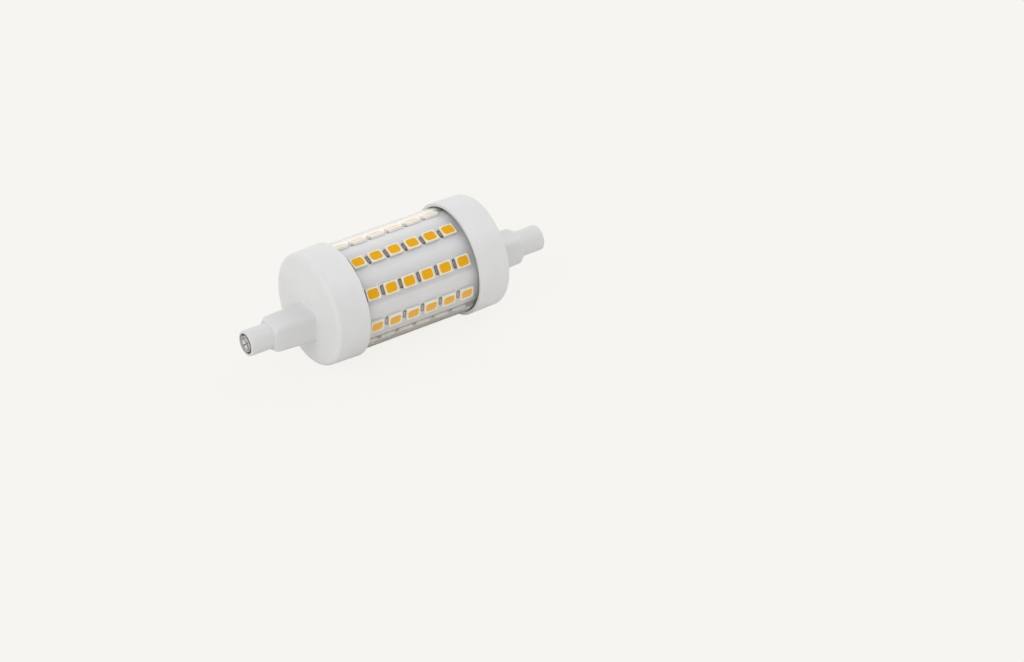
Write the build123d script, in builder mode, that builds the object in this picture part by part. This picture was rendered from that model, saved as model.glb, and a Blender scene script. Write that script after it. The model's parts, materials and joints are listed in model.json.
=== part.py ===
from build123d import *

import os
from math import cos, radians, sin, sqrt, tan

os.makedirs("parts", exist_ok=True)

# Driving dimensions, in millimetres and degrees.
# The lamp lies along X, with the tube's axis on the origin and both noses dropped towards -Z.

# Whole lamp
overall_length = 78.0
clear_length = 29.2  # tube that shows between the two cap rims
slip_gap = 0.1  # room left where one piece slides into another

# Clear tube
tube_diameter = 24.6
tube_wall = 0.75

# End caps
cap_skirt_wall = 0.8  # at the rim
cap_draft = 1.2
cap_floor = 1.8
cap_edge_round = 1.2
cap_rim_round = 0.15
core_ring_wall = 1.2
core_ring_length = 2.5

# Neck and nose of a cap
nose_diameter = 5.9
nose_length = 5.8
nose_end_round = 0.4
nose_drop = 2.75
neck_side = 6.6  # at the shoulder
neck_draft = 2.0
neck_corner_round = 1.1
shoulder_length = 1.0  # where the neck's corners slope down to the nose
shoulder_inset = 0.2
shoulder_corner_round = 2.4
neck_end_round = 0.1

# Contacts
recess_diameter = 4.9
recess_depth = 0.5
seat_diameter = 4.5  # pocket at the foot of the recess that holds the contact's head
head_thickness = 1.6
head_dish_diameter = 3.9
head_dish_depth = 1.0
head_groove_width = 0.35
head_groove_depth = 0.2
head_groove_angle = 45.0
web_thickness = 1.6  # nose wall that the contact is riveted through
stem_diameter = 2.0
collar_diameter = 3.0
collar_thickness = 0.5
tail_length = 1.5
wire_duct_diameter = 4.0

# LED board and the core it is wrapped on
board_length = 38.0
board_end_gap = 2.0  # board to a cap's floor, where the feed wires turn
board_thickness = 0.2
board_seam = 0.6
adhesive_gap = 0.05
core_wall = 1.0

# LEDs
led_rows = 9
leds_per_row = 6
led_pitch = 4.75
first_row_angle = 30.0  # from +Y towards +Z
down_angle = 270.0  # where -Z lies, in the same terms
led_length = 3.5
led_width = 2.8
led_height = 0.7
led_clearance = 0.2  # LED top to the tube's inner wall
window_length = 2.75
window_width = 2.1
window_round = 0.6
window_depth = 0.3
phosphor_sink = 0.05

# Solder
wide_joint_length = 0.6
narrow_joint_length = 0.2
joint_width = 2.1
joint_height = 0.3
joint_toe_height = 0.06
terminal_length = 3.0
terminal_width = 1.6
terminal_height = 0.7
terminal_gap = 0.2  # last LED's solder to the terminal

# Wires
lead_diameter = 1.0
lead_landing = 4.4  # length of a lead that lies on the driver board
feed_diameter = 0.8
feed_start = 4.4  # from the driver board's end
feed_bend = 0.6
feed_slot_width = 1.6

# Driver board and its components
driver_thickness = 0.8
component_gap = 1.5
capacitor_diameter = 8.0
capacitor_length = 12.0
capacitor_groove = 0.4
capacitor_groove_place = 1.6
capacitor_leg_spacing = 3.5
rectifier_length = 4.7
rectifier_width = 3.9
rectifier_height = 1.6
regulator_length = 4.9
regulator_width = 3.9
regulator_height = 1.5
regulator_count = 2
regulator_legs = 4  # on each side
chip_leg_reach = 1.0
chip_leg_thickness = 0.2
rectifier_leg_width = 0.7
regulator_leg_width = 0.42
resistor_diameter = 3.0
resistor_length = 7.0
resistor_end_length = 1.4
resistor_waist = 0.25
varistor_diameter = 7.0
varistor_thickness = 3.4
varistor_edge_round = 0.8
varistor_standoff = 1.0
varistor_leg_spacing = 5.0
leg_diameter = 0.6
leg_reach = 1.5
chip_length = 3.2
chip_width = 1.6
chip_height = 0.6
chip_terminal = 0.5
chip_terminal_rise = 0.1
chip_pitch = 2.4
chip_count = 4

# Sizes that follow from the driving dimensions

tube_radius = tube_diameter / 2
tube_inner_radius = tube_radius - tube_wall
skirt_radius = tube_radius + slip_gap
rim_radius = skirt_radius + cap_skirt_wall
rim_x = clear_length / 2
floor_x = board_length / 2 + board_end_gap
face_x = floor_x + cap_floor
face_radius = rim_radius - (face_x - rim_x) * tan(radians(cap_draft))
end_x = overall_length / 2
neck_end_x = end_x - nose_length
shoulder_x = neck_end_x - shoulder_length
neck_length = shoulder_x - face_x
neck_root_side = neck_side + 2 * neck_length * tan(radians(neck_draft))
shoulder_end_side = neck_side - 2 * shoulder_inset

head_front_x = end_x - recess_depth
head_back_x = head_front_x - head_thickness
web_back_x = head_back_x - web_thickness
collar_back_x = web_back_x - collar_thickness
tail_end_x = collar_back_x - tail_length
head_radius = seat_diameter / 2 - slip_gap / 2

led_top_radius = tube_inner_radius - led_clearance
board_radius = led_top_radius - led_height
board_inner_radius = board_radius - board_thickness
core_radius = board_inner_radius - adhesive_gap
core_inner_radius = core_radius - core_wall
ring_radius = core_inner_radius - slip_gap
ring_inner_radius = ring_radius - core_ring_wall

row_pitch = 360 / led_rows
seam_angle = first_row_angle - row_pitch / 2
row_length = (leds_per_row - 1) * led_pitch + led_length
terminal_x = row_length / 2 + narrow_joint_length + terminal_gap
terminal_end_x = terminal_x + terminal_length
lowest_row = round((down_angle - first_row_angle) / row_pitch)
terminal_angles = [first_row_angle + (lowest_row + side) * row_pitch for side in (-1, 1)]

driver_top = -nose_drop - lead_diameter / 2
driver_bottom = driver_top - driver_thickness
driver_end_x = floor_x - slip_gap
driver_half_width = sqrt(ring_radius**2 - driver_bottom**2) - slip_gap
lead_end_x = driver_end_x - lead_landing
feed_turn_x = floor_x - board_end_gap / 2


def polar_point(radius, angle):
    """Point of a cross-section at a radius and an angle from +Y towards +Z."""
    return (radius * cos(radians(angle)), radius * sin(radians(angle)))


def row_plane(angle, radius):
    """Plane tangent to the tube's axis cylinder, with its x along the lamp and its normal outwards."""
    outwards = Vector(0, cos(radians(angle)), sin(radians(angle)))
    return Plane(origin=outwards * radius, x_dir=(1, 0, 0), z_dir=outwards)


def side_plane(angle, radius, across):
    """Plane along the lamp and square to the board, for profiles of solder; its y points outwards."""
    outwards = Vector(0, cos(radians(angle)), sin(radians(angle)))
    around = Vector(1, 0, 0).cross(outwards)
    return Plane(origin=outwards * radius + around * across, x_dir=(1, 0, 0), z_dir=around)


def cross_plane(angle, radius, place):
    """Plane square to the lamp at a place along it; its y points outwards at the given angle."""
    outwards = Vector(0, cos(radians(angle)), sin(radians(angle)))
    around = Vector(1, 0, 0).cross(outwards)
    return Plane(origin=outwards * radius + Vector(place, 0, 0), x_dir=around * -1, z_dir=(1, 0, 0))


row_angles = [first_row_angle + row * row_pitch for row in range(led_rows)]
led_places = [(index - (leds_per_row - 1) / 2) * led_pitch for index in range(leds_per_row)]
nose_centre = (0, -nose_drop)

# End caps

with BuildPart() as right_end_cap:
    with BuildSketch(Plane.XY):
        with BuildLine():
            Polyline(
                (rim_x, skirt_radius),
                (rim_x, rim_radius),
                (face_x, face_radius),
                (face_x, 0),
                (floor_x, 0),
                (floor_x, skirt_radius),
                close=True,
            )
        make_face()
    revolve(axis=Axis.X)
    circles = right_end_cap.edges().filter_by(GeomType.CIRCLE)
    fillet(circles.group_by(Axis.X)[-1], cap_edge_round)
    rim_edges = right_end_cap.edges().filter_by(GeomType.CIRCLE).group_by(Axis.X)[0]
    fillet(rim_edges.sort_by(SortBy.RADIUS)[-1], cap_rim_round)
    # Ring that centres the core, slotted for the driver board and the feed wires
    with BuildSketch(Plane.YZ.offset(floor_x)):
        Circle(ring_radius)
        Circle(ring_inner_radius, mode=Mode.SUBTRACT)
    extrude(amount=-core_ring_length)
    with BuildSketch(Plane.YZ.offset(floor_x)):
        with Locations((0, (driver_top + driver_bottom) / 2)):
            Rectangle(2 * ring_radius + slip_gap, driver_thickness + 2 * slip_gap)
        for angle in terminal_angles:
            ring_middle = (ring_radius + ring_inner_radius) / 2
            with Locations(Location(polar_point(ring_middle, angle), angle)):
                Rectangle(core_ring_wall + feed_slot_width, feed_slot_width)
    extrude(amount=-core_ring_length, mode=Mode.SUBTRACT)
    # Square neck, drafted towards its shoulder, then the shoulder with its sloping corners
    neck_outlines = [
        (face_x, neck_root_side, neck_corner_round),
        (shoulder_x, neck_side, neck_corner_round),
        (neck_end_x, shoulder_end_side, shoulder_corner_round),
    ]
    for span in zip(neck_outlines, neck_outlines[1:]):
        for x, side, corner_round in span:
            with BuildSketch(Plane.YZ.offset(x)):
                with Locations(nose_centre):
                    RectangleRounded(side, side, corner_round)
        loft(ruled=True)
    shoulder = right_end_cap.faces().filter_by(Axis.X).sort_by(Axis.X)[-1]
    fillet(shoulder.edges(), neck_end_round)
    # Round nose
    with BuildSketch(Plane.YZ.offset(neck_end_x)):
        with Locations(nose_centre):
            Circle(nose_diameter / 2)
    extrude(amount=nose_length)
    nose_edge = right_end_cap.edges().filter_by(GeomType.CIRCLE).sort_by(Axis.X)[-1]
    fillet(nose_edge, nose_end_round)
    # Contact recess and seat, stem hole and wire duct
    with BuildSketch(Plane.YZ.offset(end_x)):
        with Locations(nose_centre):
            Circle(recess_diameter / 2)
    extrude(amount=-recess_depth, mode=Mode.SUBTRACT)
    with BuildSketch(Plane.YZ.offset(head_front_x)):
        with Locations(nose_centre):
            Circle(seat_diameter / 2)
    extrude(amount=-head_thickness, mode=Mode.SUBTRACT)
    with BuildSketch(Plane.YZ.offset(head_back_x)):
        with Locations(nose_centre):
            Circle(stem_diameter / 2 + slip_gap / 2)
    extrude(amount=-web_thickness, mode=Mode.SUBTRACT)
    with BuildSketch(Plane.YZ.offset(web_back_x)):
        with Locations(nose_centre):
            Circle(wire_duct_diameter / 2)
    extrude(amount=floor_x - web_back_x, mode=Mode.SUBTRACT)

right_end_cap.part.label = "right_end_cap"
export_step(right_end_cap.part, "parts/right_end_cap.step")

with BuildPart() as left_end_cap:
    mirror(right_end_cap.part, about=Plane.YZ)

left_end_cap.part.label = "left_end_cap"
export_step(left_end_cap.part, "parts/left_end_cap.step")

# Contacts: dished buttons with a crossed crimp, riveted through the nose

with BuildPart() as right_contact:
    with BuildSketch(Plane.XY.offset(-nose_drop)):
        with BuildLine():
            dish_start = (head_front_x, head_dish_diameter / 2)
            dish_end = (head_front_x - head_dish_depth, 0)
            TangentArc(dish_end, dish_start, tangent=(0, 1))
            Polyline(
                dish_start,
                (head_front_x, head_radius),
                (head_back_x, head_radius),
                (head_back_x, stem_diameter / 2),
                (web_back_x, stem_diameter / 2),
                (web_back_x, collar_diameter / 2),
                (collar_back_x, collar_diameter / 2),
                (collar_back_x, stem_diameter / 2),
                (tail_end_x, stem_diameter / 2),
                (tail_end_x, 0),
                dish_end,
            )
        make_face()
    revolve(axis=Axis((0, 0, -nose_drop), (1, 0, 0)))
    with BuildSketch(Plane.YZ.offset(head_front_x)):
        for turn in (head_groove_angle, head_groove_angle + 90):
            with Locations(Location(nose_centre, turn)):
                SlotOverall(head_dish_diameter, head_groove_width)
    extrude(amount=-head_dish_depth - head_groove_depth, mode=Mode.SUBTRACT)

right_contact.part.label = "right_contact"
export_step(right_contact.part, "parts/right_contact.step")

with BuildPart() as left_contact:
    mirror(right_contact.part, about=Plane.YZ)

left_contact.part.label = "left_contact"
export_step(left_contact.part, "parts/left_contact.step")

# Clear tube, seated on both cap floors

with BuildPart() as clear_tube:
    with BuildSketch(Plane.YZ):
        Circle(tube_radius)
        Circle(tube_inner_radius, mode=Mode.SUBTRACT)
    extrude(amount=floor_x, both=True)

clear_tube.part.label = "clear_tube"
export_step(clear_tube.part, "parts/clear_tube.step")

# Core tube with two notches for the feed wires, and the flexible board rolled round it

with BuildPart() as board_core:
    with BuildSketch(Plane.YZ):
        Circle(core_radius)
        Circle(core_inner_radius, mode=Mode.SUBTRACT)
    extrude(amount=floor_x, both=True)
    with BuildSketch(Plane.YZ.offset(floor_x)):
        for angle in terminal_angles:
            core_middle = (core_radius + core_inner_radius) / 2
            with Locations(Location(polar_point(core_middle, angle), angle)):
                Rectangle(core_wall + feed_slot_width, feed_slot_width)
    extrude(amount=-core_ring_length, mode=Mode.SUBTRACT)

board_core.part.label = "board_core"
export_step(board_core.part, "parts/board_core.step")

with BuildPart() as led_board:
    with BuildSketch(Plane.YZ):
        Circle(board_radius)
        Circle(board_inner_radius, mode=Mode.SUBTRACT)
        seam_reach = (board_radius + board_inner_radius) / 2
        with Locations(Location(polar_point(seam_reach, seam_angle), seam_angle)):
            Rectangle(board_radius - board_inner_radius + board_seam, board_seam, mode=Mode.SUBTRACT)
    extrude(amount=board_length / 2, both=True)

led_board.part.label = "led_board"
export_step(led_board.part, "parts/led_board.step")

# LEDs: cream housings with a rounded window, filled with phosphor

with BuildPart() as led_packages:
    for angle in row_angles:
        with BuildSketch(row_plane(angle, board_radius)):
            with Locations([(place, 0) for place in led_places]):
                Rectangle(led_length, led_width)
        extrude(amount=led_height)
    for angle in row_angles:
        with BuildSketch(row_plane(angle, led_top_radius)):
            with Locations([(place, 0) for place in led_places]):
                RectangleRounded(window_length, window_width, window_round)
        extrude(amount=-window_depth, mode=Mode.SUBTRACT)

led_packages.part.label = "led_packages"
export_step(led_packages.part, "parts/led_packages.step")

with BuildPart() as led_phosphors:
    for angle in row_angles:
        with BuildSketch(row_plane(angle, led_top_radius - window_depth)):
            with Locations([(place, 0) for place in led_places]):
                RectangleRounded(window_length, window_width, window_round)
        extrude(amount=window_depth - phosphor_sink)

led_phosphors.part.label = "led_phosphors"
export_step(led_phosphors.part, "parts/led_phosphors.step")

# Solder: a wide fillet at one end of each LED, a narrow one at the other

with BuildPart() as solder_joints:
    led_half = led_length / 2
    for angle in row_angles:
        with BuildSketch(side_plane(angle, board_radius, -joint_width / 2)):
            with Locations([(place, 0) for place in led_places]):
                for side, reach in ((-1, wide_joint_length), (1, narrow_joint_length)):
                    Polygon(
                        (side * led_half, 0),
                        (side * (led_half + reach), 0),
                        (side * (led_half + reach), joint_toe_height),
                        (side * led_half, joint_height),
                        align=None,
                    )
        extrude(amount=joint_width)

solder_joints.part.label = "solder_joints"
export_step(solder_joints.part, "parts/solder_joints.step")

# Terminals: rounded mounds of solder on the board, where the feed wires end

with BuildPart() as terminal_joints:
    for angle in terminal_angles:
        with BuildSketch(cross_plane(angle, board_radius, terminal_x)):
            with BuildLine():
                foot = (-terminal_width / 2, 0)
                far_foot = (terminal_width / 2, 0)
                ThreePointArc(foot, (0, terminal_height), far_foot)
                Line(far_foot, foot)
            make_face()
        extrude(amount=terminal_length)

terminal_joints.part.label = "terminal_joints"
export_step(terminal_joints.part, "parts/terminal_joints.step")

# Wires: straight leads from the contacts, and feeds that turn outwards round the board's end

with BuildPart() as right_lead_wire:
    with BuildSketch(Plane.YZ.offset(lead_end_x)):
        with Locations(nose_centre):
            Circle(lead_diameter / 2)
    extrude(amount=tail_end_x - lead_end_x)

right_lead_wire.part.label = "right_lead_wire"
export_step(right_lead_wire.part, "parts/right_lead_wire.step")

with BuildPart() as left_lead_wire:
    mirror(right_lead_wire.part, about=Plane.YZ)

left_lead_wire.part.label = "left_lead_wire"
export_step(left_lead_wire.part, "parts/left_lead_wire.step")

with BuildPart() as feed_wires:
    for angle in terminal_angles:
        outwards = Vector(0, cos(radians(angle)), sin(radians(angle)))
        under_driver = outwards * ((driver_bottom - feed_diameter / 2) / outwards.Z)
        on_board = outwards * (board_radius + feed_diameter / 2)
        start = under_driver + Vector(driver_end_x - feed_start, 0, 0)
        with BuildLine():
            FilletPolyline(
                start,
                under_driver + Vector(feed_turn_x, 0, 0),
                on_board + Vector(feed_turn_x, 0, 0),
                on_board + Vector(terminal_end_x, 0, 0),
                radius=feed_bend,
            )
        with BuildSketch(Plane(origin=start, z_dir=(1, 0, 0))):
            Circle(feed_diameter / 2)
        sweep()

feed_wires.part.label = "feed_wires"
export_step(feed_wires.part, "parts/feed_wires.step")

# Driver board, held in the slots of both caps' rings

with BuildPart() as driver_board:
    with BuildSketch(Plane.XY.offset(driver_bottom)):
        Rectangle(2 * driver_end_x, 2 * driver_half_width)
    extrude(amount=driver_thickness)

driver_board.part.label = "driver_board"
export_step(driver_board.part, "parts/driver_board.step")

# Components on the driver board: a front row and a back row, each placed after the one before

front_y = -driver_half_width / 2
back_y = driver_half_width / 2
resistor_x = -lead_end_x + leg_reach + resistor_length / 2
resistor_z = driver_top + resistor_diameter / 2
rectifier_x = resistor_x + resistor_length / 2 + leg_reach + component_gap + rectifier_length / 2
first_regulator_x = rectifier_x + rectifier_length / 2 + component_gap + regulator_length / 2
varistor_x = -lead_end_x
varistor_z = driver_top + varistor_standoff + varistor_diameter / 2
capacitor_x = varistor_x + varistor_thickness + component_gap
capacitor_end_x = capacitor_x + capacitor_length
capacitor_z = driver_top + capacitor_diameter / 2
first_chip_x = capacitor_end_x + leg_reach + component_gap + chip_width / 2

with BuildPart() as fuse_resistor:
    resistor_radius = resistor_diameter / 2
    waist_radius = resistor_radius - resistor_waist
    with BuildSketch(Plane.XY.offset(resistor_z)):
        with Locations((resistor_x, front_y)):
            with Locations((0, resistor_radius / 2)):
                Rectangle(resistor_length, resistor_radius)
            with Locations((0, waist_radius + resistor_waist / 2)):
                Rectangle(resistor_length - 2 * resistor_end_length, resistor_waist, mode=Mode.SUBTRACT)
    revolve(axis=Axis((0, front_y, resistor_z), (1, 0, 0)))
    for side in (-1, 1):
        body_end = resistor_x + side * resistor_length / 2
        with BuildLine():
            FilletPolyline(
                (body_end, front_y, resistor_z),
                (body_end + side * leg_reach, front_y, resistor_z),
                (body_end + side * leg_reach, front_y, driver_top),
                radius=leg_diameter,
            )
        with BuildSketch(Plane.YZ.offset(body_end)):
            with Locations((front_y, resistor_z)):
                Circle(leg_diameter / 2)
        sweep()

fuse_resistor.part.label = "fuse_resistor"
export_step(fuse_resistor.part, "parts/fuse_resistor.step")

with BuildPart() as bridge_rectifier:
    with BuildSketch(Plane.XY.offset(driver_top)):
        with Locations((rectifier_x, front_y)):
            Rectangle(rectifier_length, rectifier_width)
    extrude(amount=rectifier_height)
    with BuildSketch(Plane.XY.offset(driver_top)):
        with Locations((rectifier_x, front_y)):
            with GridLocations(rectifier_length - 2 * rectifier_leg_width, 0, 2, 1):
                Rectangle(rectifier_leg_width, rectifier_width + 2 * chip_leg_reach)
    extrude(amount=chip_leg_thickness)

bridge_rectifier.part.label = "bridge_rectifier"
export_step(bridge_rectifier.part, "parts/bridge_rectifier.step")

with BuildPart() as current_regulators:
    for index in range(regulator_count):
        regulator_x = first_regulator_x + index * (regulator_length + component_gap)
        with BuildSketch(Plane.XY.offset(driver_top)):
            with Locations((regulator_x, front_y)):
                Rectangle(regulator_length, regulator_width)
        extrude(amount=regulator_height)
        with BuildSketch(Plane.XY.offset(driver_top)):
            with Locations((regulator_x, front_y)):
                with GridLocations(regulator_length / regulator_legs, 0, regulator_legs, 1):
                    Rectangle(regulator_leg_width, regulator_width + 2 * chip_leg_reach)
        extrude(amount=chip_leg_thickness)

current_regulators.part.label = "current_regulators"
export_step(current_regulators.part, "parts/current_regulators.step")

with BuildPart() as varistor:
    with BuildSketch(Plane.YZ.offset(varistor_x)):
        with Locations((back_y, varistor_z)):
            Circle(varistor_diameter / 2)
    extrude(amount=varistor_thickness)
    fillet(varistor.edges().filter_by(GeomType.CIRCLE), varistor_edge_round)
    with BuildSketch(Plane.XY.offset(driver_top)):
        with Locations((varistor_x + varistor_thickness / 2, back_y)):
            with GridLocations(0, varistor_leg_spacing, 1, 2):
                Circle(leg_diameter / 2)
    extrude(amount=varistor_standoff + varistor_diameter / 2)

varistor.part.label = "varistor"
export_step(varistor.part, "parts/varistor.step")

with BuildPart() as smoothing_capacitor:
    can_radius = capacitor_diameter / 2
    with BuildSketch(Plane.XY.offset(capacitor_z)):
        with Locations(((capacitor_x + capacitor_end_x) / 2, back_y + can_radius / 2)):
            Rectangle(capacitor_length, can_radius)
        with Locations((capacitor_end_x - capacitor_groove_place, back_y + can_radius)):
            Circle(capacitor_groove, mode=Mode.SUBTRACT)
    revolve(axis=Axis((0, back_y, capacitor_z), (1, 0, 0)))
    for leg_y in (back_y - capacitor_leg_spacing / 2, back_y + capacitor_leg_spacing / 2):
        with BuildLine():
            FilletPolyline(
                (capacitor_end_x, leg_y, capacitor_z),
                (capacitor_end_x + leg_reach, leg_y, capacitor_z),
                (capacitor_end_x + leg_reach, leg_y, driver_top),
                radius=leg_diameter,
            )
        with BuildSketch(Plane.YZ.offset(capacitor_end_x)):
            with Locations((leg_y, capacitor_z)):
                Circle(leg_diameter / 2)
        sweep()

smoothing_capacitor.part.label = "smoothing_capacitor"
export_step(smoothing_capacitor.part, "parts/smoothing_capacitor.step")

with BuildPart() as chip_resistors:
    chip_spots = [(first_chip_x + index * chip_pitch, back_y) for index in range(chip_count)]
    with BuildSketch(Plane.XY.offset(driver_top)):
        with Locations(chip_spots):
            Rectangle(chip_width, chip_length)
    extrude(amount=chip_height)
    with BuildSketch(Plane.XY.offset(driver_top + chip_height)):
        with Locations(chip_spots):
            Rectangle(chip_width, chip_length - 2 * chip_terminal)
    extrude(amount=-chip_terminal_rise, mode=Mode.SUBTRACT)

chip_resistors.part.label = "chip_resistors"
export_step(chip_resistors.part, "parts/chip_resistors.step")
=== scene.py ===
import json
import math
import random

import bmesh
import bpy
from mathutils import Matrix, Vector


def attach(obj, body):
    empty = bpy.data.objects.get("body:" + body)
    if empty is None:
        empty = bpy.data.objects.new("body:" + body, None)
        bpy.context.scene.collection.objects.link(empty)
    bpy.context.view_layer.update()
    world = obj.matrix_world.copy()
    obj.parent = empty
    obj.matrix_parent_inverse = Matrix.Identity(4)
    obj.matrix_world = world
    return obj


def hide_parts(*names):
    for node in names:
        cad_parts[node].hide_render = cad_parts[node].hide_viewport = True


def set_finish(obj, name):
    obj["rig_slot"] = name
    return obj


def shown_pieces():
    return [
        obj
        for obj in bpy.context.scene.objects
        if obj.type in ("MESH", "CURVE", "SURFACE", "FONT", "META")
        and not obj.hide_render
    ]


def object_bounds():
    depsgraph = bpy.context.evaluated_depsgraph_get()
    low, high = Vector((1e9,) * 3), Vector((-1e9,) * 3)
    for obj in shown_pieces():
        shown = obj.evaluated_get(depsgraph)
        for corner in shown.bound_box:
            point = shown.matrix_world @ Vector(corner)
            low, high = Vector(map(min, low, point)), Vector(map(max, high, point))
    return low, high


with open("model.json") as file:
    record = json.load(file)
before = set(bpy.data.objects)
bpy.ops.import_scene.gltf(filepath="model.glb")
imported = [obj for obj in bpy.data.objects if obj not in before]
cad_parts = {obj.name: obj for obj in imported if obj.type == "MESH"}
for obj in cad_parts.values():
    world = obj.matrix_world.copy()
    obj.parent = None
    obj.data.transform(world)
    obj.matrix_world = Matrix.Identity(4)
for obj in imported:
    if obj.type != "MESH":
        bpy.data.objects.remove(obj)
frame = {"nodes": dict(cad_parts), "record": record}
cad_low, cad_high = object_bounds()
nodes = frame["nodes"]
scene = bpy.context.scene
scene.view_settings.view_transform = "Standard"
random.seed(5)
MM = 0.001
ENDS = (("left", -1), ("right", 1))

# Camera, as the photograph was taken

image_width, image_height = 1024, 662
view_azimuth = math.radians(-32.64)
view_elevation = math.radians(32.69)
camera_distance = 1.0
focal_px = 4479.0
origin_px = (394.9, 277.15)
sensor_width = 36.0
clip_near, clip_far = 0.05, 20.0

back = Vector((
    math.sin(view_azimuth) * math.cos(view_elevation),
    -math.cos(view_azimuth) * math.cos(view_elevation),
    math.sin(view_elevation),
))
right = Vector((math.cos(view_azimuth), math.sin(view_azimuth), 0))
up = back.cross(right)
aim = (
    right * (image_width / 2 - origin_px[0]) * camera_distance / focal_px
    + up * (origin_px[1] - image_height / 2) * camera_distance / focal_px
)
camera_data = bpy.data.cameras.new("camera")
camera_data.sensor_width = sensor_width
camera_data.lens = focal_px * sensor_width / image_width
camera = bpy.data.objects.new("camera", camera_data)
scene.collection.objects.link(camera)
camera.location = back * camera_distance
camera.rotation_mode = "QUATERNION"
camera.rotation_quaternion = (aim - camera.location).to_track_quat("-Z", "Y")
camera_data.clip_start, camera_data.clip_end = clip_near, clip_far
scene.camera = camera

# Sizes of the part, in millimetres, as its solids have them

rim_x, floor_x, face_x, neck_end_x, end_x = 14.6, 21.0, 22.8, 33.2, 39.0
rim_radius, skirt_radius, cap_draft = 13.19, 12.4, 1.2
cap_edge_round, rim_round, rim_inner_round = 1.2, 0.15, 0.08
neck_half, neck_draft, neck_corner, neck_root_round = 3.3, 2.0, 1.1, 0.12
shoulder_x, shoulder_half, shoulder_corner, neck_end_round = 32.2, 3.1, 2.4, 0.1
nose_radius, nose_drop, nose_end_round = 2.95, 2.75, 0.4
recess_radius, recess_x, mouth_round = 2.45, 38.5, 0.06
seat_radius, seat_x = 2.25, 36.9
hole_radius, web_x, duct_radius = 1.05, 35.3, 2.0
ring_inner, ring_outer, ring_x = 8.1, 9.3, 18.5
slot_low, slot_high, slot_half = -4.15, -3.15, 9.35
feed_slot_width, feed_angles = 1.6, (230, 310)
tube_radius, tube_inner, tube_chamfer = 12.3, 11.55, 0.1
board_radius, board_inner, board_half = 10.65, 10.45, 19.0
seam_angle, seam_half = 10.0, 0.3
row_angles = [30 + 40 * row for row in range(9)]
led_pitch, leds_per_row = 4.75, 6
led_places = [(i - (leds_per_row - 1) / 2) * led_pitch for i in range(leds_per_row)]
led_half_x, led_half_y, led_height = 1.75, 1.4, 0.7
window_half_x, window_half_y, window_round, window_floor = 1.375, 1.05, 0.6, 0.4
joint_half, wide_joint, narrow_joint = 1.05, 0.6, 0.2
terminal_x, terminal_length, terminal_half, terminal_height = 14.025, 3.0, 0.8, 0.7

# Mesh tools

weld_distance, sliver_length = 1e-7, 1e-8


def loft(rings, loop=False, close_ends=False):
    """Vertices and faces of a skin through closed rings; a ring of one point is a pole."""
    verts, starts = [], []
    for ring in rings:
        starts.append(len(verts))
        verts += ring
    faces = []
    pairs = list(zip(range(len(rings)), range(1, len(rings))))
    if loop:
        pairs.append((len(rings) - 1, 0))
    for a, b in pairs:
        na, nb = len(rings[a]), len(rings[b])
        count = max(na, nb)
        for i in range(count):
            j = (i + 1) % count
            quad = [starts[a] + i % na, starts[a] + j % na, starts[b] + j % nb, starts[b] + i % nb]
            faces.append([v for k, v in enumerate(quad) if v not in quad[:k]])
    if close_ends:
        faces.append([starts[0] + i for i in range(len(rings[0]))])
        faces.append([starts[-1] + i for i in range(len(rings[-1]))])
    return verts, faces


def make_mesh(name, verts, faces, tones=None):
    """A clean mesh from millimetres, with an optional value from 0 to 1 at each vertex."""
    mesh = bpy.data.meshes.new(name)
    mesh.from_pydata([tuple(c * MM for c in v) for v in verts], [], faces)
    if tones is not None:
        layer = mesh.attributes.new("tone", "FLOAT", "POINT")
        layer.data.foreach_set("value", tones)
    bm = bmesh.new()
    bm.from_mesh(mesh)
    bmesh.ops.remove_doubles(bm, verts=bm.verts, dist=weld_distance)
    bmesh.ops.dissolve_degenerate(bm, edges=bm.edges, dist=sliver_length)
    bmesh.ops.recalc_face_normals(bm, faces=bm.faces)
    bm.to_mesh(mesh)
    bm.free()
    return mesh


def make_piece(name, mesh, node, slot, sharp=35):
    """A piece on the lamp's one body that stands for a node of the solids."""
    mesh.shade_smooth()
    mesh.set_sharp_from_angle(angle=math.radians(sharp))
    piece = bpy.data.objects.new(name, mesh)
    scene.collection.objects.link(piece)
    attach(piece, "root")
    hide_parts(node)
    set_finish(piece, slot)


def arc(steps, start=0.0, end=90.0):
    """Cosine and sine at even steps of an arc, in degrees."""
    turns = [math.radians(start + (end - start) * i / steps) for i in range(steps + 1)]
    return [(math.cos(t), math.sin(t)) for t in turns]


def spread(a, b, count):
    """Even places from a to b, without both ends."""
    return [a + (b - a) * (i + 1) / (count + 1) for i in range(count)]


def even_turns(count):
    """Angles of evenly spaced points round a circle."""
    return [2 * math.pi * i / count for i in range(count)]


def round_ring(x, radius, turns, drop=0.0):
    """Circle across the lamp at the given angles, dropped below its axis."""
    return [(x, radius * math.cos(t), radius * math.sin(t) - drop) for t in turns]


def smooth(low, high, value):
    """Smooth step from 0 at low to 1 at high."""
    t = min(1.0, max(0.0, (value - low) / (high - low)))
    return t * t * (3 - 2 * t)


# End caps: one skin, out over the cup, along the neck and nose, into the recess and back inside

corner_start, side_step, corner_step = 36, 2, 1.5
rim_steps, side_rings, edge_steps, face_rings = 4, 7, 10, 4
root_steps, neck_rings, slope_steps, neck_end_steps = 4, 8, 10, 3
nose_rings, nose_end_steps, mouth_steps = 4, 6, 3
slope_power, cutter_margin = 1.25, 0.5

side_count = 2 * corner_start // side_step + 1
corner_count = int((90 - 2 * corner_start) / corner_step) - 1
cap_angles = []
for quarter in range(4):
    side_first, corner_first = 90 * quarter - corner_start, 90 * quarter + corner_start + corner_step
    cap_angles += [math.radians(side_first + side_step * i) for i in range(side_count)]
    cap_angles += [math.radians(corner_first + corner_step * i) for i in range(corner_count)]


def circle(x, radius, drop=0.0):
    return round_ring(x, radius, cap_angles, drop)


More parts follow.
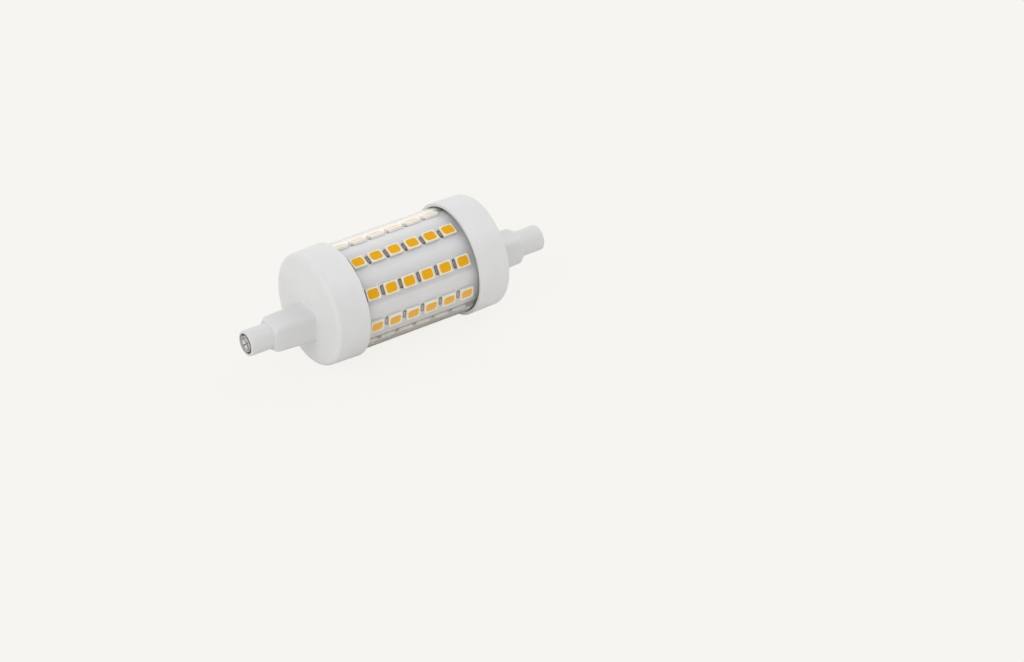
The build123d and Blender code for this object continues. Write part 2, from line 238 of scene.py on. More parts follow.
def square(x, half, corner, least=0.0):
    """Rounded square ring round the nose's axis, nowhere nearer to it than a least distance."""
    ring = []
    for a in cap_angles:
        c, s = abs(math.cos(a)), abs(math.sin(a))
        reach, inset = half / max(c, s), half - corner
        if reach * min(c, s) > inset:
            along = inset * (c + s)
            reach = along + math.sqrt(along**2 - 2 * inset**2 + corner**2)
        reach = max(reach, least)
        ring.append((x, reach * math.cos(a), reach * math.sin(a) - nose_drop))
    return ring


def between(ring_a, ring_b, share):
    return [tuple(p + (q - p) * share for p, q in zip(a, b)) for a, b in zip(ring_a, ring_b)]


def neck_half_at(x):
    return neck_half + (shoulder_x - x) * math.tan(math.radians(neck_draft))


def cap_radius_at(x):
    return rim_radius - (x - rim_x) * math.tan(math.radians(cap_draft))


def cup_rings():
    """Rim and outside of the cup, up to its flat face."""
    rim_flat = rim_radius - rim_round
    rings = [circle(rim_x + rim_inner_round, skirt_radius), circle(rim_x, skirt_radius + rim_inner_round)]
    rings += [circle(rim_x + rim_round * (1 - c), rim_flat + rim_round * s) for c, s in arc(rim_steps)]
    edge_x = face_x - cap_edge_round
    edge_radius = cap_radius_at(edge_x) - cap_edge_round / math.cos(math.radians(cap_draft))
    rings += [circle(x, cap_radius_at(x)) for x in spread(rim_x + rim_round, edge_x, side_rings)]
    for c, s in arc(edge_steps, cap_draft):
        rings.append(circle(edge_x + cap_edge_round * s, edge_radius + cap_edge_round * c))
    return rings


def neck_skin(face_edge):
    """From the edge of the cup's face to the neck's foot, along the neck and down its shoulder."""
    root = neck_half_at(face_x)
    foot = square(face_x, root + neck_root_round, neck_corner + neck_root_round)
    rings = [between(face_edge, foot, share) for share in spread(0, 1, face_rings)]
    for c, s in arc(root_steps):
        swell = neck_root_round * (1 - s)
        rings.append(square(face_x + neck_root_round * (1 - c), root + swell, neck_corner + swell))
    for x in spread(face_x + neck_root_round, shoulder_x, neck_rings):
        rings.append(square(x, neck_half_at(x), neck_corner))
    slope_end = neck_end_x - neck_end_round
    for i in range(slope_steps + 1):
        share = (i / slope_steps) ** slope_power
        x = shoulder_x + (slope_end - shoulder_x) * i / slope_steps
        half = neck_half + (shoulder_half - neck_half) * share
        rings.append(square(x, half, neck_corner + (shoulder_corner - neck_corner) * share))
    for c, s in arc(neck_end_steps)[1:]:
        inset = neck_end_round * (1 - c)
        x = slope_end + neck_end_round * s
        rings.append(square(x, shoulder_half - inset, shoulder_corner - inset, nose_radius))
    return rings


def nose_skin():
    """Round nose, its end and the recess in it, then the contact's seat, hole and wire duct."""
    profile = [(neck_end_x, nose_radius)]
    profile += [(x, nose_radius) for x in spread(neck_end_x, end_x - nose_end_round, nose_rings)]
    for c, s in arc(nose_end_steps):
        profile.append((end_x - nose_end_round * (1 - s), nose_radius - nose_end_round * (1 - c)))
    for c, s in arc(mouth_steps):
        profile.append((end_x - mouth_round * (1 - c), recess_radius + mouth_round * (1 - s)))
    profile += [
        (recess_x, recess_radius), (recess_x, seat_radius), (seat_x, seat_radius), (seat_x, hole_radius),
        (web_x, hole_radius), (web_x, duct_radius), (floor_x, duct_radius),
    ]
    return [circle(x, radius, nose_drop) for x, radius in profile]


def cap_rings():
    rings = cup_rings()
    rings += neck_skin(rings[-1])
    rings += nose_skin()
    cavity = [
        (floor_x, ring_inner), (ring_x, ring_inner), (ring_x, ring_outer), (floor_x, ring_outer),
        (floor_x, skirt_radius),
    ]
    return rings + [circle(x, radius) for x, radius in cavity]


def box_mesh(low, high, turn=0.0):
    """A plain cutter block, turned about the lamp's axis."""
    c, s = math.cos(turn), math.sin(turn)
    verts = []
    for x in (low[0], high[0]):
        for y in (low[1], high[1]):
            for z in (low[2], high[2]):
                verts.append((x, y * c - z * s, y * s + z * c))
    faces = [(0, 1, 3, 2), (4, 6, 7, 5), (0, 4, 5, 1), (2, 3, 7, 6), (0, 2, 6, 4), (1, 5, 7, 3)]
    return make_mesh("cutter", verts, faces)


def cut(mesh, cutters):
    """The mesh with each cutter's space taken out of it."""
    target = bpy.data.objects.new("target", mesh)
    scene.collection.objects.link(target)
    tools = []
    for cutter in cutters:
        tool = bpy.data.objects.new("tool", cutter)
        scene.collection.objects.link(tool)
        tools.append(tool)
        modifier = target.modifiers.new("cut", "BOOLEAN")
        modifier.object, modifier.operation, modifier.solver = tool, "DIFFERENCE", "EXACT"
    bpy.context.view_layer.update()
    evaluated = target.evaluated_get(bpy.context.evaluated_depsgraph_get())
    result = bpy.data.meshes.new_from_object(evaluated)
    for o in [target] + tools:
        bpy.data.objects.remove(o)
    return result


def cap_mesh(side):
    """A cap with the driver board's slot and the feed wires' notches cut in its inner ring."""
    verts, faces = loft(cap_rings(), loop=True)
    mesh = make_mesh("cap", [(side * x, y, z) for x, y, z in verts], faces)
    low_x, high_x = sorted((side * (ring_x - cutter_margin), side * floor_x))
    cutters = [box_mesh((low_x, -slot_half, slot_low), (high_x, slot_half, slot_high))]
    for angle in feed_angles:
        low = (low_x, ring_inner - cutter_margin, -feed_slot_width / 2)
        high = (high_x, ring_outer + cutter_margin, feed_slot_width / 2)
        cutters.append(box_mesh(low, high, math.radians(angle)))
    return cut(mesh, cutters)


for name, side in ENDS:
    make_piece(f"{name}_cap_moulding", cap_mesh(side), f"{name}_end_cap", "cap_plastic")

# Contacts: a head with a flat rim round four pressed petals, a stem and its riveted collar

face_rise, face_radius, foot_radius, flange_radius = 0.48, 1.8, 2.1, 2.4
dish_radius, dish_depth, dish_groove, groove_half = 1.4, 0.26, 0.08, 0.1
head_radius, stem_radius, collar_radius, collar_x, tail_x = 2.2, 1.0, 1.5, 34.8, 33.3
petal_slots, slot_depth = ((45, 0.21), (135, 0.06)), 0.34
slot_wall_out, slot_wall_in, slot_end = 0.1, 0.06, 0.05
petal_tilt, petal_root = 0.10, 0.7
edge_drop, edge_reach, wall_rise, wall_inset = 0.04, 0.05, 0.2, 0.04
foot_rise, flange_rise, flange_lift = 0.02, 0.015, 0.005
# tones that paint shade towards the rim, in the slots and groove, and down the gap round the head
rim_shade_tone, rim_fade, slot_shade, groove_shade, least_tone = 0.62, 0.3, 0.9, 0.3, 0.05
edge_shade_tone, wall_shade_tone, gap_shade_tone = 0.35, 0.2, 0.1
contact_points, face_steps = 240, 38


def face_point(radius, angle):
    """Depth of the face below its rim at a point of the head, and its tone from dark to bright, which
    paints shade in the slots and the groove and towards the rim.
    """
    hollow = max(1 - (radius / dish_radius) ** 2, 0.0)
    groove = smooth(groove_half, 0.0, abs(radius - dish_radius))
    slot, turned = 0.0, 90.0
    for slot_turn, half in petal_slots:
        apart = angle - math.radians(slot_turn)
        turned = min(turned, math.degrees(apart) % 180)
        slot = max(slot, smooth(half + slot_wall_out, half - slot_wall_in, radius * abs(math.sin(apart))))
    slot *= smooth(dish_radius + slot_end, dish_radius - slot_end, radius)
    inward = smooth(dish_radius, petal_root * dish_radius, radius)
    depth = dish_depth * hollow + dish_groove * groove
    depth += petal_tilt * turned / 90 * inward * radius / dish_radius
    tone = 1 - (1 - rim_shade_tone) * smooth(dish_radius - rim_fade, dish_radius, radius)
    tone -= max(slot_shade * slot, groove_shade * groove)
    return depth + (slot_depth - depth) * slot, max(tone, least_tone)


def contact_mesh(side):
    """The head's face, the gap round it with painted shade, then its back, the stem and the collar."""
    turns = even_turns(contact_points)
    front = recess_x + face_rise
    depth, tone = face_point(0.0, 0.0)
    rings, tones = [[(front - depth, 0, -nose_drop)]], [tone]
    for i in range(1, face_steps + 1):
        radius = face_radius * i / face_steps
        ring = []
        for t in turns:
            depth, tone = face_point(radius, t)
            ring.append((front - depth, radius * math.cos(t), radius * math.sin(t) - nose_drop))
            tones.append(tone)
        rings.append(ring)
    profile = [
        (front - edge_drop, face_radius + edge_reach, edge_shade_tone),
        (recess_x + wall_rise, foot_radius - wall_inset, wall_shade_tone),
        (recess_x + foot_rise, foot_radius, gap_shade_tone),
        (recess_x + flange_rise, flange_radius, gap_shade_tone),
        (recess_x + flange_lift, flange_radius, gap_shade_tone),
        (recess_x + flange_lift, head_radius, 1.0),
    ]
    profile += [(x, radius, 1.0) for x, radius in (
        (seat_x, head_radius), (seat_x, stem_radius), (web_x, stem_radius), (web_x, collar_radius),
        (collar_x, collar_radius), (collar_x, stem_radius), (tail_x, stem_radius))]
    for x, radius, tone in profile:
        rings.append(round_ring(x, radius, turns, nose_drop))
        tones += [tone] * contact_points
    rings.append([(tail_x, 0, -nose_drop)])
    tones.append(1.0)
    verts, faces = loft(rings)
    return make_mesh("contact", [(side * x, y, z) for x, y, z in verts], faces, tones)


for name, side in ENDS:
    make_piece(f"{name}_contact_cup", contact_mesh(side), f"{name}_contact", "contact_metal", 50)

# Clear tube

tube_points, tube_rings = 256, 9
tube_turns = even_turns(tube_points)
tube_end = floor_x - tube_chamfer
outer = [(-floor_x, tube_radius - tube_chamfer), (-tube_end, tube_radius)]
outer += [(x, tube_radius) for x in spread(-tube_end, tube_end, tube_rings)]
outer += [(tube_end, tube_radius), (floor_x, tube_radius - tube_chamfer)]
inner = [(floor_x, tube_inner + tube_chamfer), (tube_end, tube_inner)]
inner += [(x, tube_inner) for x in spread(tube_end, -tube_end, tube_rings)]
inner += [(-tube_end, tube_inner), (-floor_x, tube_inner + tube_chamfer)]
verts, faces = loft([round_ring(x, radius, tube_turns) for x, radius in outer + inner], loop=True)
make_piece("clear_cover_tube", make_mesh("tube", verts, faces), "clear_tube", "clear_cover")

# Board, rolled with its seam at the back

board_steps, board_columns = 288, 38
seam_turn = math.asin(seam_half / board_radius)
board_places = [-board_half + 2 * board_half * k / board_columns for k in range(board_columns + 1)]
board_rings = []
for i in range(board_steps + 1):
    t = math.radians(seam_angle) + seam_turn + (2 * math.pi - 2 * seam_turn) * i / board_steps
    c, s = math.cos(t), math.sin(t)
    ring = [(x, board_radius * c, board_radius * s) for x in board_places]
    ring += [(x, board_inner * c, board_inner * s) for x in reversed(board_places)]
    board_rings.append(ring)
verts, faces = loft(board_rings, close_ends=True)
make_piece("rolled_board", make_mesh("board", verts, faces), "led_board", "board_white")

# LEDs and their solder, each in its own place on the board

place_scatter, turn_scatter = 0.02, 0.5
window_taper, ground_gap = 0.08, 0.002
corner_steps, side_parts = 6, 3


class Group:
    """Many small solids that make one piece."""

    def __init__(self):
        self.verts, self.faces, self.tones = [], [], []

    def add(self, skin, place, tones=None):
        verts, faces = skin
        first = len(self.verts)
        self.verts += [place(*v) for v in verts]
        self.faces += [[first + i for i in face] for face in faces]
        self.tones += tones or [1.0] * len(verts)

    def mesh(self, name):
        return make_mesh(name, self.verts, self.faces, self.tones)


def on_board(angle, along=0.0, across=0.0, turn=0.0):
    """Places a point (along the lamp, across the row, up from the board) at a spot of the board."""
    t, c, s = math.radians(angle), math.cos(turn), math.sin(turn)
    out = (math.cos(t), math.sin(t))

    def place(u, v, w):
        x, y = along + u * c - v * s, across + u * s + v * c
        return (x, out[0] * (board_radius + w) - out[1] * y, out[1] * (board_radius + w) + out[0] * y)

    return place


def board_drop(v):
    """Height of the round board at a distance across a row, with a hair's gap above it."""
    return math.sqrt(board_radius**2 - v**2) - board_radius + ground_gap


def outline(half_x, half_y, corner, height):
    """Rounded rectangle ring at a height, with the same points for every size."""
    ring = []
    for quarter, (sx, sy) in enumerate(((1, 1), (-1, 1), (-1, -1), (1, -1))):
        cx, cy = sx * (half_x - corner), sy * (half_y - corner)
        for c, s in arc(corner_steps, 90 * quarter, 90 * quarter + 90):
            ring.append((cx + corner * c, cy + corner * s, height))
        next_x, next_y = (-cx, cy + sy * corner) if quarter % 2 == 0 else (cx + sx * corner, -cy)
        x, y = ring[-1][:2]
        for k in range(1, side_parts):
            ring.append((x + (next_x - x) * k / side_parts, y + (next_y - y) * k / side_parts, height))
    return ring


def window(grow, height):
    """Outline of an LED's window, larger or smaller all round."""
    return outline(window_half_x + grow, window_half_y + grow, window_round + grow, height)


def package_skin():
    """An LED's housing: a block with a drafted, rounded top and a window for its fill."""
    draft, edge, lip = 0.03, 0.06, 0.03
    foot_inset, foot_corner, side_corner, top_corner = 0.05, 0.10, 0.12, 0.14
    side_low, side_high, cream_low, cream_high = 0.05, 0.22, 0.5, 0.68
    edge_steps, lip_steps = 3, 2
    top_x, top_y = led_half_x - draft, led_half_y - draft
    rings = [
        [(0, 0, 0)],
        outline(led_half_x - foot_inset, led_half_y - foot_inset, foot_corner, 0),
        outline(led_half_x, led_half_y, side_corner, side_low),
        outline(led_half_x, led_half_y, side_corner, side_high),
    ]
    for c, s in arc(edge_steps):
        inset = edge * (1 - c)
        rings.append(outline(top_x - inset, top_y - inset, top_corner, led_height - edge * (1 - s)))
    rings += [window(lip * (1 - s), led_height - lip * (1 - c)) for c, s in arc(lip_steps)]
    rings += [window(-window_taper, window_floor), [(0, 0, window_floor)]]
    # the tone paints shade on the sides: grey low down, cream on top
    tones = [smooth(cream_low, cream_high, height) for ring in rings for _, _, height in ring]
    return loft(rings), tones


def phosphor_skin():
    """The fill of an LED's window, which sags a little towards its middle."""
    gap, edge_gap, edge_sag, middle_sag = 0.004, 0.012, 0.035, 0.045
    low_x, low_y = window_half_x - window_taper - gap, window_half_y - window_taper - gap
    edge = window(-edge_gap, led_height - edge_sag)
    rings = [
        [(0, 0, window_floor + gap)],
        outline(low_x, low_y, window_round - window_taper, window_floor + gap),
        edge,
    ]
    for share in (0.93, 0.82, 0.66, 0.46, 0.24):
        sag = edge_sag + middle_sag * (1 - share**2)
        rings.append([(x * share, y * share, led_height - sag) for x, y, _ in edge])
    rings.append([(0, 0, led_height - (edge_sag + middle_sag))])
    return loft(rings)


def joint_skin(length, side):
    """Solder between an LED's end and its pad: a hollow fillet with rounded corners."""
    sections, steps = 14, 8
    corner_cut, corner_power, end_fall, end_power = 0.3, 5, 0.75, 6
    toe_height, climb, hollow, lip_height = 0.07, 0.21, 1.8, 0.035
    bright_sides, bright_root, bright_toe = 0.55, 0.35, 0.7
    rings, tones = [], []
    for i in range(sections + 1):
        v = joint_half * (2 * i / sections - 1)
        edge = abs(v) / joint_half
        reach = length * (1 - corner_cut * edge**corner_power)
        lift = 1 - end_fall * edge**end_power
        ring = []
        for k in range(steps + 1):
            share = k / steps
            height = lip_height if k == steps else toe_height + climb * (1 - share) ** hollow
            ring.append((side * (led_half_x + reach * share), v, height * lift))
            # the tone paints a highlight along the middle of the back and shade at the sides and foot
            middle = smooth(0.0, bright_root, share) * smooth(1.0, bright_toe, share)
            tones.append(smooth(1.0, bright_sides, edge) * middle)
        for share in (1.0, 0.0):
            ring.append((side * (led_half_x + reach * share), v, board_drop(v)))
            tones.append(0.0)
        rings.append(ring)
    return loft(rings, close_ends=True), tones


def mound_skin():
    """A long rounded mound of solder, its tone painting shade at the foot and a highlight on the crown.
    """
    sections, steps = 24, 12
    end_power, end_width, more_width, end_height, more_height = 5, 0.55, 0.45, 0.12, 0.88
    wave_mean, wave_depth, wave_turn, crown = 0.93, 0.07, 9, 0.9
    mound_foot_shade, crown_highlight_tone = 0.55, 0.3
    rings, tones = [], []
    for i in range(sections + 1):
        u = i / sections
        swell = max(1 - abs(2 * u - 1) ** end_power, 0.0) ** 0.5
        half = terminal_half * (end_width + more_width * swell)
        wave = wave_mean + wave_depth * math.cos(wave_turn * u)
        height = terminal_height * (end_height + more_height * swell) * wave
        ring = []
        for k in range(steps + 1):
            t = math.pi * k / steps
            v = -half * math.cos(t)
            ground = board_drop(v)
            ring.append((terminal_length * u, v, ground + (height - ground) * math.sin(t) ** crown))
            tones.append(mound_foot_shade + crown_highlight_tone * math.sin(t))
        rings.append(ring)
    return loft(rings, close_ends=True), tones


packages, phosphors, joints, terminals = Group(), Group(), Group(), Group()
package, package_tones = package_skin()
phosphor = phosphor_skin()
wide, wide_tones = joint_skin(wide_joint, -1)
narrow, narrow_tones = joint_skin(narrow_joint, 1)
for angle in row_angles:
    for along in led_places:
        across = random.uniform(-place_scatter, place_scatter)
        turn = math.radians(random.uniform(-turn_scatter, turn_scatter))
        place = on_board(angle, along, across, turn)
        packages.add(package, place, package_tones)
        phosphors.add(phosphor, place)
        joints.add(wide, place, wide_tones)
        joints.add(narrow, place, narrow_tones)
mound, mound_tones = mound_skin()
for angle in feed_angles:
    terminals.add(mound, on_board(angle, terminal_x), mound_tones)
make_piece("led_housings", packages.mesh("led_housings"), "led_packages", "led_housing", 40)
make_piece("led_phosphor_fills", phosphors.mesh("led_phosphor_fills"), "led_phosphors", "led_phosphor",
           50)
make_piece("led_solder", joints.mesh("led_solder"), "solder_joints", "solder", 50)
make_piece("terminal_solder", terminals.mesh("terminal_solder"), "terminal_joints", "solder", 60)

# Materials

noise_low, noise_high, gloss_ratio = 0.3, 0.7, 4


def add(tree, kind, inputs=None, **settings):
    """A shader node with its settings, and values or links for its inputs."""
    node = tree.nodes.new("ShaderNode" + kind)
    for key, value in settings.items():
        setattr(node, key, value)
    for key, value in (inputs or {}).items():
        if isinstance(value, bpy.types.NodeSocket):
            tree.links.new(value, node.inputs[key])
        else:
            node.inputs[key].default_value = value
    return node


def maths(tree, operation, *values):
    return add(tree, "Math", dict(enumerate(values)), operation=operation).outputs[0]


def length(tree, vector):
    return add(tree, "VectorMath", {0: vector}, operation="LENGTH").outputs["Value"]


def ramp(tree, factor, *stops):
    """Colours at places along a factor."""
    node = add(tree, "ValToRGB", {"Fac": factor})
    elements = node.color_ramp.elements
    while len(elements) < len(stops):
        elements.new(0.5)
    for element, (place, colour) in zip(elements, stops):
        element.position = place
        element.color = (*colour, 1)
    return node.outputs["Color"]


def in_range(tree, value, low, high, to_low, to_high):
    """A value brought from one range to another."""
    limits = {"From Min": low, "From Max": high, "To Min": to_low, "To Max": to_high}
    return add(tree, "MapRange", {"Value": value, **limits}).outputs["Result"]


def noise(tree, where, scale, detail=2.0):
    inputs = {"Vector": where, "Scale": scale, "Detail": detail, "Roughness": 0.5}
    return add(tree, "TexNoise", inputs).outputs["Fac"]


def from_noise(tree, value, to_low, to_high):
    """A noise's usual reach brought to a range."""
    return in_range(tree, value, noise_low, noise_high, to_low, to_high)


def tone_of(tree):
    """The value that the mesh holds at its vertices."""
    return add(tree, "Attribute", attribute_name="tone").outputs["Fac"]


def blend(tree, share, first, second):
    """Two shaders mixed by a share."""
    return add(tree, "MixShader", {0: share, 1: first, 2: second}).outputs["Shader"]


def show(tree, output, shader):
    tree.links.new(shader, tree.nodes[output].inputs["Surface"])


def look(name, **sockets):
    """A material with plain values on its own sockets, with its tree, shader and place."""
    material = bpy.data.materials.new(name)
    material.use_nodes = True
    tree = material.node_tree
    shader = tree.nodes["Principled BSDF"]
    for key, value in sockets.items():
        shader.inputs[key.replace("_", " ")].default_value = value
    where = add(tree, "TexCoord").outputs["Object"]
    return material, tree, shader, where


def feed(tree, shader, **links):
    for key, socket in links.items():
        tree.links.new(socket, shader.inputs[key.replace("_", " ")])


def dress(tree, shader, gloss, height, strength, depth, **links):
    """Feeds a shader its uneven gloss, a fine grain from a height, and other links such as its colour."""
    inputs = {"Height": height, "Strength": strength, "Distance": depth}
    normal = add(tree, "Bump", inputs).outputs["Normal"]
    feed(tree, shader, Roughness=gloss, Normal=normal, **links)


def grain(name, colour, spread_colour, scale, gloss, grain_scale, depth, metallic):
    """A material with mottled colour, uneven gloss and a fine grain."""
    material, tree, shader, where = look(name, Metallic=metallic)
    mottle = noise(tree, where, scale, detail=3)
    dress(tree, shader,
          Base_Color=ramp(tree, mottle, (noise_low, colour), (noise_high, spread_colour)),
          gloss=from_noise(tree, noise(tree, where, gloss_ratio * scale, detail=4), *gloss),
          height=noise(tree, where, grain_scale), strength=0.5, depth=depth)
    return material


# Plain materials: two colours, mottle's scale, gloss from and to, grain's scale and depth, metal

grain_looks = (
    ("board_white", (0.725, 0.72, 0.725), (0.755, 0.75, 0.755), 160, (0.30, 0.42), 2500, 4e-6, 0.0),
    ("core_metal", (0.66, 0.66, 0.67), (0.76, 0.76, 0.77), 400, (0.3, 0.45), 4000, 5e-6, 1.0),
    ("driver_laminate", (0.06, 0.26, 0.11), (0.09, 0.33, 0.16), 300, (0.3, 0.45), 2200, 8e-6, 0.0),
    ("chip_black", (0.04, 0.04, 0.045), (0.06, 0.06, 0.065), 500, (0.5, 0.65), 5000, 8e-6, 0.0),
    ("capacitor_sleeve", (0.05, 0.06, 0.09), (0.07, 0.08, 0.12), 300, (0.2, 0.35), 1500, 5e-6, 0.0),
    ("resistor_coat", (0.48, 0.42, 0.31), (0.56, 0.50, 0.37), 600, (0.6, 0.8), 4000, 2e-5, 0.0),
    ("varistor_coat", (0.06, 0.18, 0.42), (0.08, 0.22, 0.49), 400, (0.2, 0.35), 1800, 1e-5, 0.0),
    ("wire_sleeve", (0.76, 0.76, 0.74), (0.82, 0.82, 0.80), 500, (0.4, 0.55), 3000, 5e-6, 0.0),
)
looks = {row[0]: grain(*row) for row in grain_looks}

# Cap plastic: painted shade inside, and the neck painted a little darker than the cup's wall as shade

skirt_fade, floor_fade, neck_shade_fade = 0.12, 0.5, 1.5
# painted shade: the walls inside the cup are grey
inside_shade_grey = (0.28, 0.28, 0.28, 1)
shaded_neck_white, wall_white, bright_white = (0.735, 0.735, 0.735), (0.77, 0.77, 0.77), (0.81, 0.81, 0.808)
looks["cap_plastic"], tree, shader, where = look("cap_plastic", IOR=1.5)
along = maths(tree, "ABSOLUTE", add(tree, "SeparateXYZ", {0: where}).outputs["X"])
across = add(tree, "VectorMath", {0: where, 1: (0, 1, 1)}, operation="MULTIPLY").outputs["Vector"]
off_axis = length(tree, across)
past_skirt = in_range(tree, off_axis, skirt_radius * MM, (skirt_radius + skirt_fade) * MM, 0.0, 1.0)
past_floor = in_range(tree, along, floor_x * MM, (floor_x + floor_fade) * MM, 0.0, 1.0)
outside = maths(tree, "MAXIMUM", past_skirt, past_floor)
# painted shade: the neck is darker than the cup, fading in past the cup's face
cup_lit_share = in_range(tree, along, face_x * MM, (face_x + neck_shade_fade) * MM, 0.5, 0.0)
mottle = from_noise(tree, noise(tree, where, scale=110, detail=3), 0.0, 0.5)
mixed = maths(tree, "ADD", mottle, cup_lit_share)
white = ramp(tree, mixed, (0.0, shaded_neck_white), (0.5, wall_white), (1.0, bright_white))
colour = add(tree, "MixRGB", {"Fac": outside, "Color1": inside_shade_grey, "Color2": white}).outputs["Color"]
dress(tree, shader,
      Base_Color=colour,
      gloss=from_noise(tree, noise(tree, where, scale=440, detail=4), 0.38, 0.48),
      height=noise(tree, where, scale=3200), strength=0.5, depth=6e-6)

# LED housing: sides painted a shaded grey, cream on top

shaded_side_grey, top_cream = (0.69, 0.685, 0.67), (0.97, 0.89, 0.69)
looks["led_housing"], tree, shader, where = look("led_housing", IOR=1.5)
dress(tree, shader,
      Base_Color=ramp(tree, tone_of(tree), (0.0, shaded_side_grey), (1.0, top_cream)),
      gloss=from_noise(tree, noise(tree, where, scale=900, detail=3), 0.38, 0.52),
      height=noise(tree, where, scale=6000), strength=0.4, depth=3e-6)

# LED phosphor: fine grains, and a slightly different yellow in each LED

deep_yellow, pale_yellow = (0.88, 0.425, 0.0), (0.95, 0.485, 0.0)
looks["led_phosphor"], tree, shader, where = look("led_phosphor", IOR=1.45, Specular_IOR_Level=0.2)
island = add(tree, "NewGeometry").outputs["Random Per Island"]
grains = noise(tree, where, scale=9000)
mixed = maths(tree, "ADD", from_noise(tree, grains, 0.0, 0.6), in_range(tree, island, 0, 1, 0.0, 0.4))
dress(tree, shader,
      Base_Color=ramp(tree, mixed, (0.0, deep_yellow), (1.0, pale_yellow)),
      gloss=from_noise(tree, noise(tree, where, scale=1500), 0.30, 0.42),
      height=grains, strength=0.4, depth=6e-6)

# Solder: painted shade at its foot and sides, and a painted highlight on its back

foot_shade_dark, slope_tin, back_highlight_tin = (0.08, 0.062, 0.056), (0.36, 0.28, 0.255), (0.62, 0.51, 0.465)
looks["solder"], tree, shader, where = look("solder", Metallic=0.5)
lumps = noise(tree, where, scale=2600, detail=3)
dress(tree, shader,
      Base_Color=ramp(tree, tone_of(tree), (0.0, foot_shade_dark), (0.6, slope_tin), (1.0, back_highlight_tin)),
      gloss=from_noise(tree, lumps, 0.28, 0.5),
      height=lumps, strength=0.6, depth=2e-5)

# Contact metal: bright, with painted shade in its slots and in the gap round its head

painted_gap_shade, metal_bright = (0.06, 0.057, 0.055), (0.76, 0.75, 0.73)
looks["contact_metal"], tree, shader, where = look("contact_metal", Metallic=1.0)
lumps = noise(tree, where, scale=1800, detail=3)
dress(tree, shader,
      Base_Color=ramp(tree, tone_of(tree), (0.0, painted_gap_shade), (1.0, metal_bright)),
      gloss=from_noise(tree, lumps, 0.18, 0.32),
      height=lumps, strength=0.4, depth=1e-5)

# Clear cover: faint streaks along it, and no shadow of its own

streak_scale = (20, 400, 400)
looks["clear_cover"], tree, shader, where = look(
    "clear_cover", Transmission_Weight=1.0, IOR=1.49, Base_Color=(1, 1, 1, 1))
streaks = add(tree, "Mapping", {"Vector": where, "Scale": streak_scale}).outputs["Vector"]
dress(tree, shader,
      gloss=in_range(tree, noise(tree, where, scale=500, detail=3), 0.4, 0.8, 0.0, 0.03),
      height=noise(tree, streaks, scale=1.0), strength=0.1, depth=4e-6)
path = add(tree, "LightPath")
through = maths(tree, "MAXIMUM", path.outputs["Is Shadow Ray"], path.outputs["Is Diffuse Ray"])
clear = add(tree, "BsdfTransparent").outputs["BSDF"]
show(tree, "Material Output", blend(tree, through, shader.outputs["BSDF"], clear))

for row in frame["record"]["subparts"]:
    nodes[row["node"]].data.materials.clear()
    nodes[row["node"]].data.materials.append(looks[row["material_slot"]])
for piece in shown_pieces():
    if "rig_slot" in piece:
        piece.data.materials.append(looks[piece["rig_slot"]])

# Floor: a pale ground that takes the lamp's shadow, and that metal and glass see from a way off

backdrop = (0.9216, 0.9047, 0.8714, 1)
floor_colour, floor_size, floor_strength = (0.82, 0.81, 0.79, 1), 6, 1.02
floor_glow, near_floor, far_floor = 0.93, 0.03, 0.08
floor_z = cad_low.z
bpy.ops.mesh.primitive_plane_add(size=floor_size, location=(0, 0, floor_z))
floor = bpy.context.object
floor.name = "floor"
ground, tree, shader, _ = look(
    "floor", Base_Color=floor_colour, Roughness=1.0, Specular_IOR_Level=0.0)
path = add(tree, "LightPath")
direct = maths(tree, "MULTIPLY", path.outputs["Is Camera Ray"], floor_glow)
bent = maths(tree, "MAXIMUM", path.outputs["Is Glossy Ray"], path.outputs["Is Transmission Ray"])
apart = length(tree, add(tree, "NewGeometry").outputs["Position"])
apart = in_range(tree, apart, near_floor, far_floor, 0.0, floor_glow)
share = maths(tree, "MULTIPLY_ADD", bent, apart, direct)
glow = add(tree, "Emission", {"Color": backdrop, "Strength": floor_strength}).outputs["Emission"]
show(tree, "Material Output", blend(tree, share, shader.outputs["BSDF"], glow))
floor.data.materials.append(ground)

# World: plain light, the backdrop where it is seen, and panels round the lamp's axis in reflections

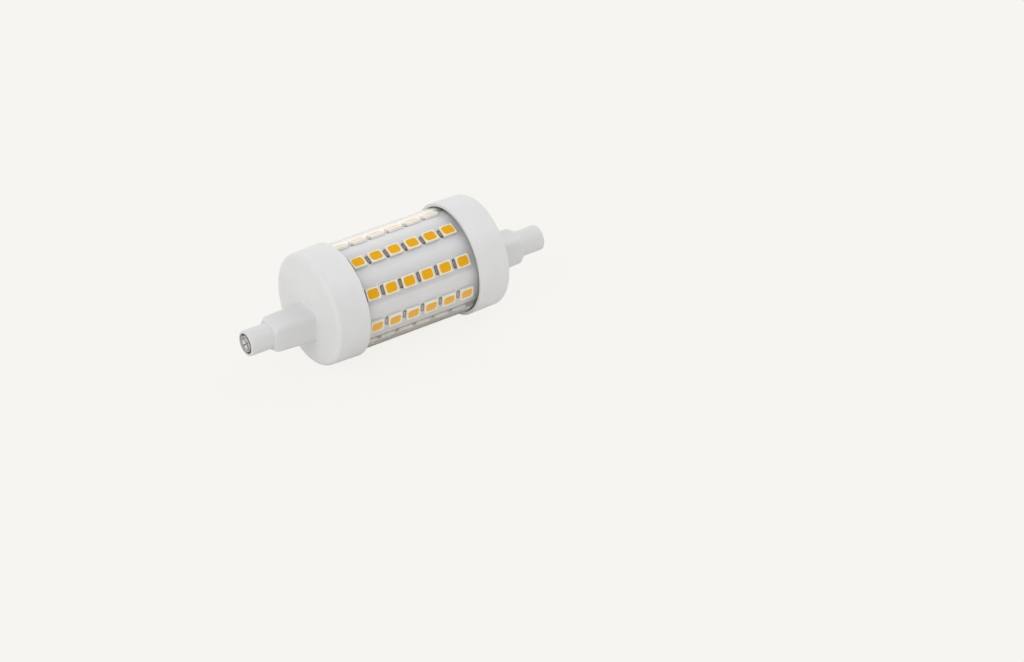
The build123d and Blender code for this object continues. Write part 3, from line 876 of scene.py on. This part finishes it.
sky_left, sky_right = 0.775, 0.63
ends_from, ends_full = 0.55, 0.8
end_low, end_high, end_dark, end_bright = -0.5, 0.9, 0.3, 1.1
panel_light = (
    (-180, 0.12), (-50, 0.12), (-30, 1.15), (47, 1.15), (70, 0.07), (96, 0.07), (116, 0.84), (137, 0.13),
    (180, 0.12),
)
world = bpy.data.worlds.new("studio")
scene.world = world
world.use_nodes = True
tree = world.node_tree
sky = tree.nodes["Background"]
sky.inputs["Color"].default_value = (1, 1, 1, 1)
wall = add(tree, "Background", {"Color": backdrop, "Strength": 1.0}).outputs["Background"]
way = add(tree, "SeparateXYZ", {0: add(tree, "TexCoord").outputs["Generated"]})
feed(tree, sky, Strength=in_range(tree, way.outputs["X"], -1, 1, sky_left, sky_right))
turn = maths(tree, "ARCTAN2", way.outputs["Z"], way.outputs["Y"])
turn = in_range(tree, turn, -math.pi, math.pi, 0, 1)
lit = ramp(tree, turn, *[((angle + 180) / 360, (light,) * 3) for angle, light in panel_light])
ends = in_range(tree, maths(tree, "ABSOLUTE", way.outputs["X"]), ends_from, ends_full, 0.0, 1.0)
end_light = in_range(tree, way.outputs["Z"], end_low, end_high, end_dark, end_bright)
lit = add(tree, "MixRGB", {"Fac": ends, "Color1": lit, "Color2": end_light}).outputs["Color"]
panels = add(tree, "Background", {"Color": lit, "Strength": 1.0}).outputs["Background"]
path = add(tree, "LightPath")
seen = maths(tree, "MAXIMUM", path.outputs["Is Camera Ray"], path.outputs["Is Transmission Ray"])
mixed = blend(tree, seen, sky.outputs["Background"], wall)
show(tree, "World Output", blend(tree, path.outputs["Is Glossy Ray"], mixed, panels))

# Lamps: the way each one's light travels, and its strength

lamps = (("left_lamp", (0.78, 0.27, -0.5), 0.58), ("right_lamp", (-0.65, -0.1, -0.75), 0.68))
lamp_angle = math.radians(60)
for name, travel, energy in lamps:
    lamp_data = bpy.data.lights.new(name, "SUN")
    lamp_data.energy = energy
    lamp_data.angle = lamp_angle
    lamp = bpy.data.objects.new(name, lamp_data)
    scene.collection.objects.link(lamp)
    lamp.visible_glossy = lamp.visible_transmission = False
    lamp.rotation_mode = "QUATERNION"
    lamp.rotation_quaternion = Vector(travel).to_track_quat("-Z", "Y")
